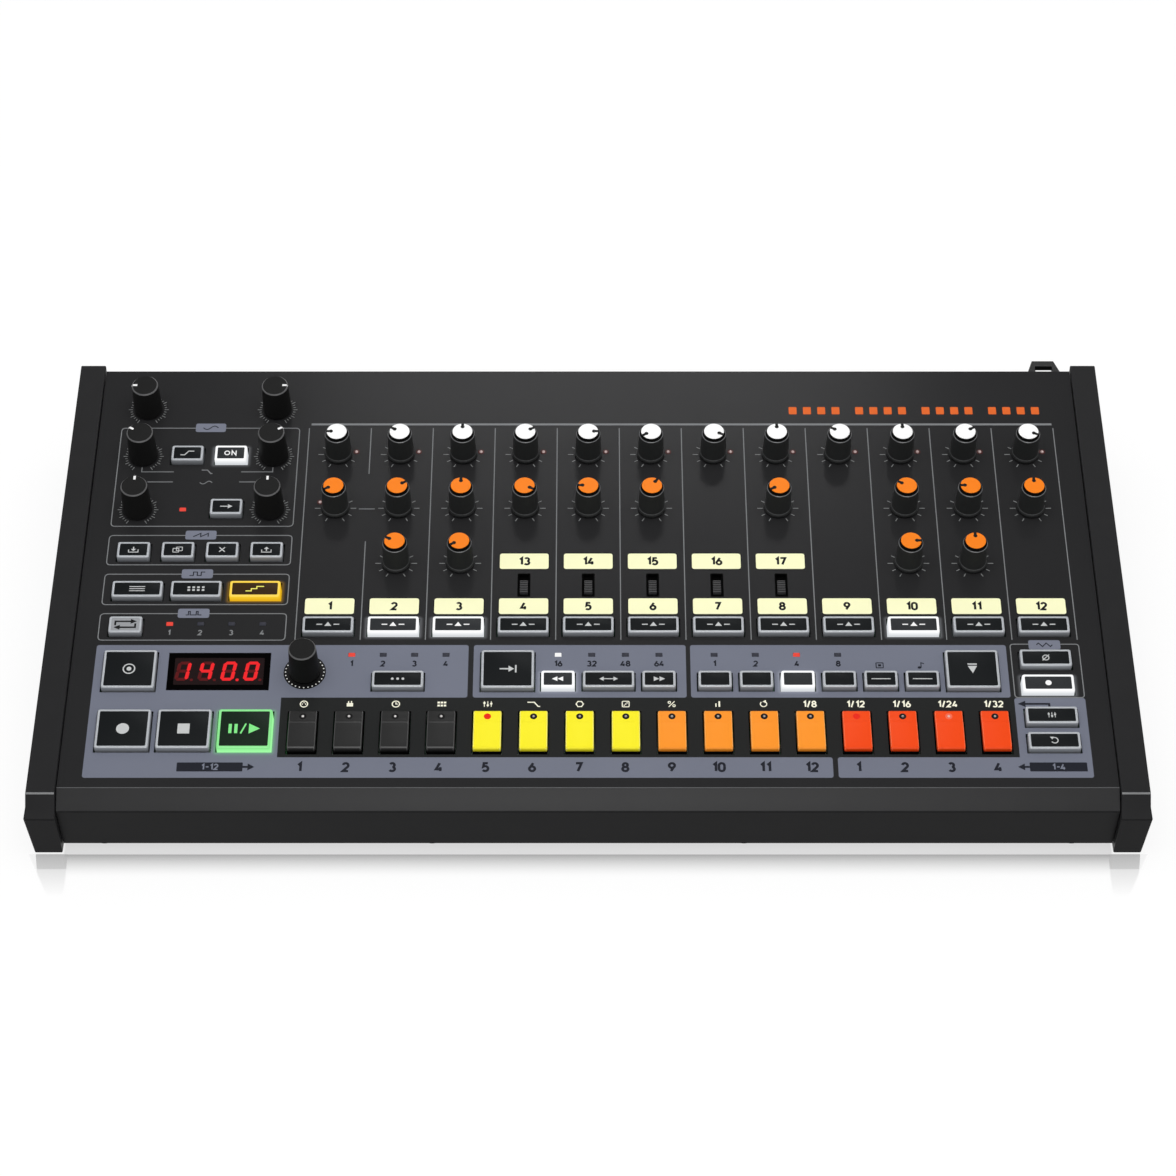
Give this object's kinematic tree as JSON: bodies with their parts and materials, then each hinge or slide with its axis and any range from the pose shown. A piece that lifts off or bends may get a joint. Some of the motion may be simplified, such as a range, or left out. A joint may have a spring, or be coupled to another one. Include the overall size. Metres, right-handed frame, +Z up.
{
  "type": "drum machine",
  "caption": "Desktop analogue drum machine: sloping control deck with rows of knobs, buttons and coloured step keys between two end cheeks.",
  "frame": {"origin": "under the middle of the whole outline, on the table", "axes": "+X to the player's right, -Y towards the player, +Z up; the deck rises by 6 degrees towards +Y"},
  "size_m": [0.498, 0.268, 0.0777],
  "materials": {
    "deck_paint": "fine matt powder coat",
    "case_paint": "fine matt powder coat",
    "cheek_plastic": "satin moulded plastic",
    "rubber": "matt",
    "screw_steel": "blackened",
    "black_plastic": "satin",
    "board": "solder mask",
    "component_grey": "plain",
    "display": "black face",
    "window": "dark red tint, polished",
    "lights": "clear, slightly frosted",
    "jack_plastic": "satin",
    "button_plastic": "translucent light grey",
    "key_black": "satin",
    "key_yellow": "satin",
    "key_orange": "satin",
    "key_red": "satin",
    "knob_plastic": "soft-touch, satin"
  },
  "bodies": {
    "housing": {"top_panel": "deck_paint", "bottom_tray": "case_paint", "left_cheek": "cheek_plastic", "right_cheek": "cheek_plastic", "rear_panel": "case_paint", "feet": "rubber", "case_screws": "screw_steel", "cable_hook": "black_plastic", "main_board": "board", "potentiometers": "component_grey", "key_switches": "component_grey", "display_module": "display", "display_window": "window", "indicator_lights": "lights", "output_jacks": "jack_plastic", "mini_jacks": "black_plastic", "data_sockets": "black_plastic", "power_entry": "black_plastic"},
    "level_knob_1_body": {"level_knob_1": "knob_plastic"},
    "level_knob_2_body": {"level_knob_2": "knob_plastic"},
    "level_knob_3_body": {"level_knob_3": "knob_plastic"},
    "level_knob_4_body": {"level_knob_4": "knob_plastic"},
    "level_knob_5_body": {"level_knob_5": "knob_plastic"},
    "level_knob_6_body": {"level_knob_6": "knob_plastic"},
    "level_knob_7_body": {"level_knob_7": "knob_plastic"},
    "level_knob_8_body": {"level_knob_8": "knob_plastic"},
    "level_knob_9_body": {"level_knob_9": "knob_plastic"},
    "level_knob_10_body": {"level_knob_10": "knob_plastic"},
    "level_knob_11_body": {"level_knob_11": "knob_plastic"},
    "level_knob_12_body": {"level_knob_12": "knob_plastic"},
    "tone_knob_1_body": {"tone_knob_1": "knob_plastic"},
    "tone_knob_2_body": {"tone_knob_2": "knob_plastic"},
    "tone_knob_3_body": {"tone_knob_3": "knob_plastic"},
    "tone_knob_4_body": {"tone_knob_4": "knob_plastic"},
    "tone_knob_5_body": {"tone_knob_5": "knob_plastic"},
    "tone_knob_6_body": {"tone_knob_6": "knob_plastic"},
    "tone_knob_8_body": {"tone_knob_8": "knob_plastic"},
    "tone_knob_10_body": {"tone_knob_10": "knob_plastic"},
    "tone_knob_11_body": {"tone_knob_11": "knob_plastic"},
    "tone_knob_12_body": {"tone_knob_12": "knob_plastic"},
    "colour_knob_2_body": {"colour_knob_2": "knob_plastic"},
    "colour_knob_3_body": {"colour_knob_3": "knob_plastic"},
    "colour_knob_10_body": {"colour_knob_10": "knob_plastic"},
    "colour_knob_11_body": {"colour_knob_11": "knob_plastic"},
    "effect_knob_one_left_body": {"effect_knob_one_left": "knob_plastic"},
    "effect_knob_one_right_body": {"effect_knob_one_right": "knob_plastic"},
    "effect_knob_two_left_body": {"effect_knob_two_left": "knob_plastic"},
    "effect_knob_two_right_body": {"effect_knob_two_right": "knob_plastic"},
    "effect_knob_three_left_body": {"effect_knob_three_left": "knob_plastic"},
    "effect_knob_three_right_body": {"effect_knob_three_right": "knob_plastic"},
    "data_encoder_body": {"data_encoder": "knob_plastic"},
    "select_buttons_body": {"select_buttons": "button_plastic"},
    "small_buttons_body": {"small_buttons": "button_plastic"},
    "large_buttons_body": {"large_buttons": "button_plastic"},
    "step_keys_black_body": {"step_keys_black": "key_black"},
    "step_keys_yellow_body": {"step_keys_yellow": "key_yellow"},
    "step_keys_orange_body": {"step_keys_orange": "key_orange"},
    "step_keys_red_body": {"step_keys_red": "key_red"},
    "slide_caps_body": {"slide_caps": "black_plastic"},
    "power_rocker_body": {"power_rocker": "black_plastic"}
  },
  "joints": [
    {"name": "level_knob_1_turn", "type": "hinge", "parent": "housing", "child": "level_knob_1_body", "pos_m": [-0.119, 0.06865, 0.05627], "axis": [0, -0.1045, 0.9945], "range_deg": [-240, 60]},
    {"name": "level_knob_2_turn", "type": "hinge", "parent": "housing", "child": "level_knob_2_body", "pos_m": [-0.08922, 0.06865, 0.05627], "axis": [0, -0.1045, 0.9945], "range_deg": [-211, 89]},
    {"name": "level_knob_3_turn", "type": "hinge", "parent": "housing", "child": "level_knob_3_body", "pos_m": [-0.05944, 0.06865, 0.05627], "axis": [0, -0.1045, 0.9945], "range_deg": [-150, 150]},
    {"name": "level_knob_4_turn", "type": "hinge", "parent": "housing", "child": "level_knob_4_body", "pos_m": [-0.02966, 0.06865, 0.05627], "axis": [0, -0.1045, 0.9945], "range_deg": [-89, 211]},
    {"name": "level_knob_5_turn", "type": "hinge", "parent": "housing", "child": "level_knob_5_body", "pos_m": [0.00012, 0.06865, 0.05627], "axis": [0, -0.1045, 0.9945], "range_deg": [-60, 240]},
    {"name": "level_knob_6_turn", "type": "hinge", "parent": "housing", "child": "level_knob_6_body", "pos_m": [0.0299, 0.06865, 0.05627], "axis": [0, -0.1045, 0.9945], "range_deg": [-273, 27]},
    {"name": "level_knob_7_turn", "type": "hinge", "parent": "housing", "child": "level_knob_7_body", "pos_m": [0.05968, 0.06865, 0.05627], "axis": [0, -0.1045, 0.9945], "range_deg": [-34, 266]},
    {"name": "level_knob_8_turn", "type": "hinge", "parent": "housing", "child": "level_knob_8_body", "pos_m": [0.08946, 0.06865, 0.05627], "axis": [0, -0.1045, 0.9945], "range_deg": [-150, 150]},
    {"name": "level_knob_9_turn", "type": "hinge", "parent": "housing", "child": "level_knob_9_body", "pos_m": [0.11924, 0.06865, 0.05627], "axis": [0, -0.1045, 0.9945], "range_deg": [-212, 88]},
    {"name": "level_knob_10_turn", "type": "hinge", "parent": "housing", "child": "level_knob_10_body", "pos_m": [0.14902, 0.06865, 0.05627], "axis": [0, -0.1045, 0.9945], "range_deg": [-150, 150]},
    {"name": "level_knob_11_turn", "type": "hinge", "parent": "housing", "child": "level_knob_11_body", "pos_m": [0.1788, 0.06865, 0.05627], "axis": [0, -0.1045, 0.9945], "range_deg": [-90, 210]},
    {"name": "level_knob_12_turn", "type": "hinge", "parent": "housing", "child": "level_knob_12_body", "pos_m": [0.20858, 0.06865, 0.05627], "axis": [0, -0.1045, 0.9945], "range_deg": [-34, 266]},
    {"name": "tone_knob_1_turn", "type": "hinge", "parent": "housing", "child": "tone_knob_1_body", "pos_m": [-0.119, 0.03573, 0.05281], "axis": [0, -0.1045, 0.9945], "range_deg": [-269, 31]},
    {"name": "tone_knob_2_turn", "type": "hinge", "parent": "housing", "child": "tone_knob_2_body", "pos_m": [-0.08922, 0.03573, 0.05281], "axis": [0, -0.1045, 0.9945], "range_deg": [-89, 211]},
    {"name": "tone_knob_3_turn", "type": "hinge", "parent": "housing", "child": "tone_knob_3_body", "pos_m": [-0.05944, 0.03573, 0.05281], "axis": [0, -0.1045, 0.9945], "range_deg": [-150, 150]},
    {"name": "tone_knob_4_turn", "type": "hinge", "parent": "housing", "child": "tone_knob_4_body", "pos_m": [-0.02966, 0.03573, 0.05281], "axis": [0, -0.1045, 0.9945], "range_deg": [-32, 268]},
    {"name": "tone_knob_5_turn", "type": "hinge", "parent": "housing", "child": "tone_knob_5_body", "pos_m": [0.00012, 0.03573, 0.05281], "axis": [0, -0.1045, 0.9945], "range_deg": [-240, 60]},
    {"name": "tone_knob_6_turn", "type": "hinge", "parent": "housing", "child": "tone_knob_6_body", "pos_m": [0.0299, 0.03573, 0.05281], "axis": [0, -0.1045, 0.9945], "range_deg": [-115, 185]},
    {"name": "tone_knob_8_turn", "type": "hinge", "parent": "housing", "child": "tone_knob_8_body", "pos_m": [0.08946, 0.03573, 0.05281], "axis": [0, -0.1045, 0.9945], "range_deg": [-270, 30]},
    {"name": "tone_knob_10_turn", "type": "hinge", "parent": "housing", "child": "tone_knob_10_body", "pos_m": [0.14902, 0.03573, 0.05281], "axis": [0, -0.1045, 0.9945], "range_deg": [-210, 90]},
    {"name": "tone_knob_11_turn", "type": "hinge", "parent": "housing", "child": "tone_knob_11_body", "pos_m": [0.1788, 0.03573, 0.05281], "axis": [0, -0.1045, 0.9945], "range_deg": [-240, 60]},
    {"name": "tone_knob_12_turn", "type": "hinge", "parent": "housing", "child": "tone_knob_12_body", "pos_m": [0.20858, 0.03573, 0.05281], "axis": [0, -0.1045, 0.9945], "range_deg": [-150, 150]},
    {"name": "colour_knob_2_turn", "type": "hinge", "parent": "housing", "child": "colour_knob_2_body", "pos_m": [-0.08922, 0.00291, 0.04936], "axis": [0, -0.1045, 0.9945], "range_deg": [-215, 85]},
    {"name": "colour_knob_3_turn", "type": "hinge", "parent": "housing", "child": "colour_knob_3_body", "pos_m": [-0.05944, 0.00291, 0.04936], "axis": [0, -0.1045, 0.9945], "range_deg": [-271, 29]},
    {"name": "colour_knob_10_turn", "type": "hinge", "parent": "housing", "child": "colour_knob_10_body", "pos_m": [0.14902, 0.00291, 0.04936], "axis": [0, -0.1045, 0.9945], "range_deg": [-60, 240]},
    {"name": "colour_knob_11_turn", "type": "hinge", "parent": "housing", "child": "colour_knob_11_body", "pos_m": [0.1788, 0.00291, 0.04936], "axis": [0, -0.1045, 0.9945], "range_deg": [-150, 150]},
    {"name": "effect_knob_one_left_turn", "type": "hinge", "parent": "housing", "child": "effect_knob_one_left_body", "pos_m": [-0.2121, 0.09669, 0.05922], "axis": [0, -0.1045, 0.9945], "range_deg": [-240, 60]},
    {"name": "effect_knob_one_right_turn", "type": "hinge", "parent": "housing", "child": "effect_knob_one_right_body", "pos_m": [-0.1499, 0.09669, 0.05922], "axis": [0, -0.1045, 0.9945], "range_deg": [-60, 240]},
    {"name": "effect_knob_two_left_turn", "type": "hinge", "parent": "housing", "child": "effect_knob_two_left_body", "pos_m": [-0.2121, 0.06746, 0.05614], "axis": [0, -0.1045, 0.9945], "range_deg": [-210, 90]},
    {"name": "effect_knob_two_right_turn", "type": "hinge", "parent": "housing", "child": "effect_knob_two_right_body", "pos_m": [-0.1499, 0.06746, 0.05614], "axis": [0, -0.1045, 0.9945], "range_deg": [-90, 210]},
    {"name": "effect_knob_three_left_turn", "type": "hinge", "parent": "housing", "child": "effect_knob_three_left_body", "pos_m": [-0.2121, 0.03483, 0.05271], "axis": [0, -0.1045, 0.9945], "range_deg": [-150, 150]},
    {"name": "effect_knob_three_right_turn", "type": "hinge", "parent": "housing", "child": "effect_knob_three_right_body", "pos_m": [-0.1499, 0.03483, 0.05271], "axis": [0, -0.1045, 0.9945], "range_deg": [-150, 150]},
    {"name": "data_encoder_turn", "type": "hinge", "parent": "housing", "child": "data_encoder_body", "pos_m": [-0.1284, -0.05945, 0.04281], "axis": [0, -0.1045, 0.9945], "continuous": true},
    {"name": "select_buttons_press", "type": "slide", "parent": "housing", "child": "select_buttons_body", "axis": [0, 0.1045, -0.9945], "range_m": [0, 0.0008], "stiffness_N_per_m": 3000, "springref_m": -0.0005},
    {"name": "small_buttons_press", "type": "slide", "parent": "housing", "child": "small_buttons_body", "axis": [0, 0.1045, -0.9945], "range_m": [0, 0.0008], "stiffness_N_per_m": 3000, "springref_m": -0.0005},
    {"name": "large_buttons_press", "type": "slide", "parent": "housing", "child": "large_buttons_body", "axis": [0, 0.1045, -0.9945], "range_m": [0, 0.0008], "stiffness_N_per_m": 3000, "springref_m": -0.0005},
    {"name": "step_keys_black_press", "type": "slide", "parent": "housing", "child": "step_keys_black_body", "axis": [0, 0.1045, -0.9945], "range_m": [0, 0.001], "stiffness_N_per_m": 3000, "springref_m": -0.0005},
    {"name": "step_keys_yellow_press", "type": "slide", "parent": "housing", "child": "step_keys_yellow_body", "axis": [0, 0.1045, -0.9945], "range_m": [0, 0.001], "stiffness_N_per_m": 3000, "springref_m": -0.0005},
    {"name": "step_keys_orange_press", "type": "slide", "parent": "housing", "child": "step_keys_orange_body", "axis": [0, 0.1045, -0.9945], "range_m": [0, 0.001], "stiffness_N_per_m": 3000, "springref_m": -0.0005},
    {"name": "step_keys_red_press", "type": "slide", "parent": "housing", "child": "step_keys_red_body", "axis": [0, 0.1045, -0.9945], "range_m": [0, 0.001], "stiffness_N_per_m": 3000, "springref_m": -0.0005},
    {"name": "slide_caps_slide", "type": "slide", "parent": "housing", "child": "slide_caps_body", "axis": [0, 0.9945, 0.1045], "range_m": [0, 0.002]},
    {"name": "power_rocker_tilt", "type": "hinge", "parent": "housing", "child": "power_rocker_body", "pos_m": [0.19, 0.1219, 0.031], "axis": [1, 0, 0], "range_deg": [0, 16]}
  ]
}
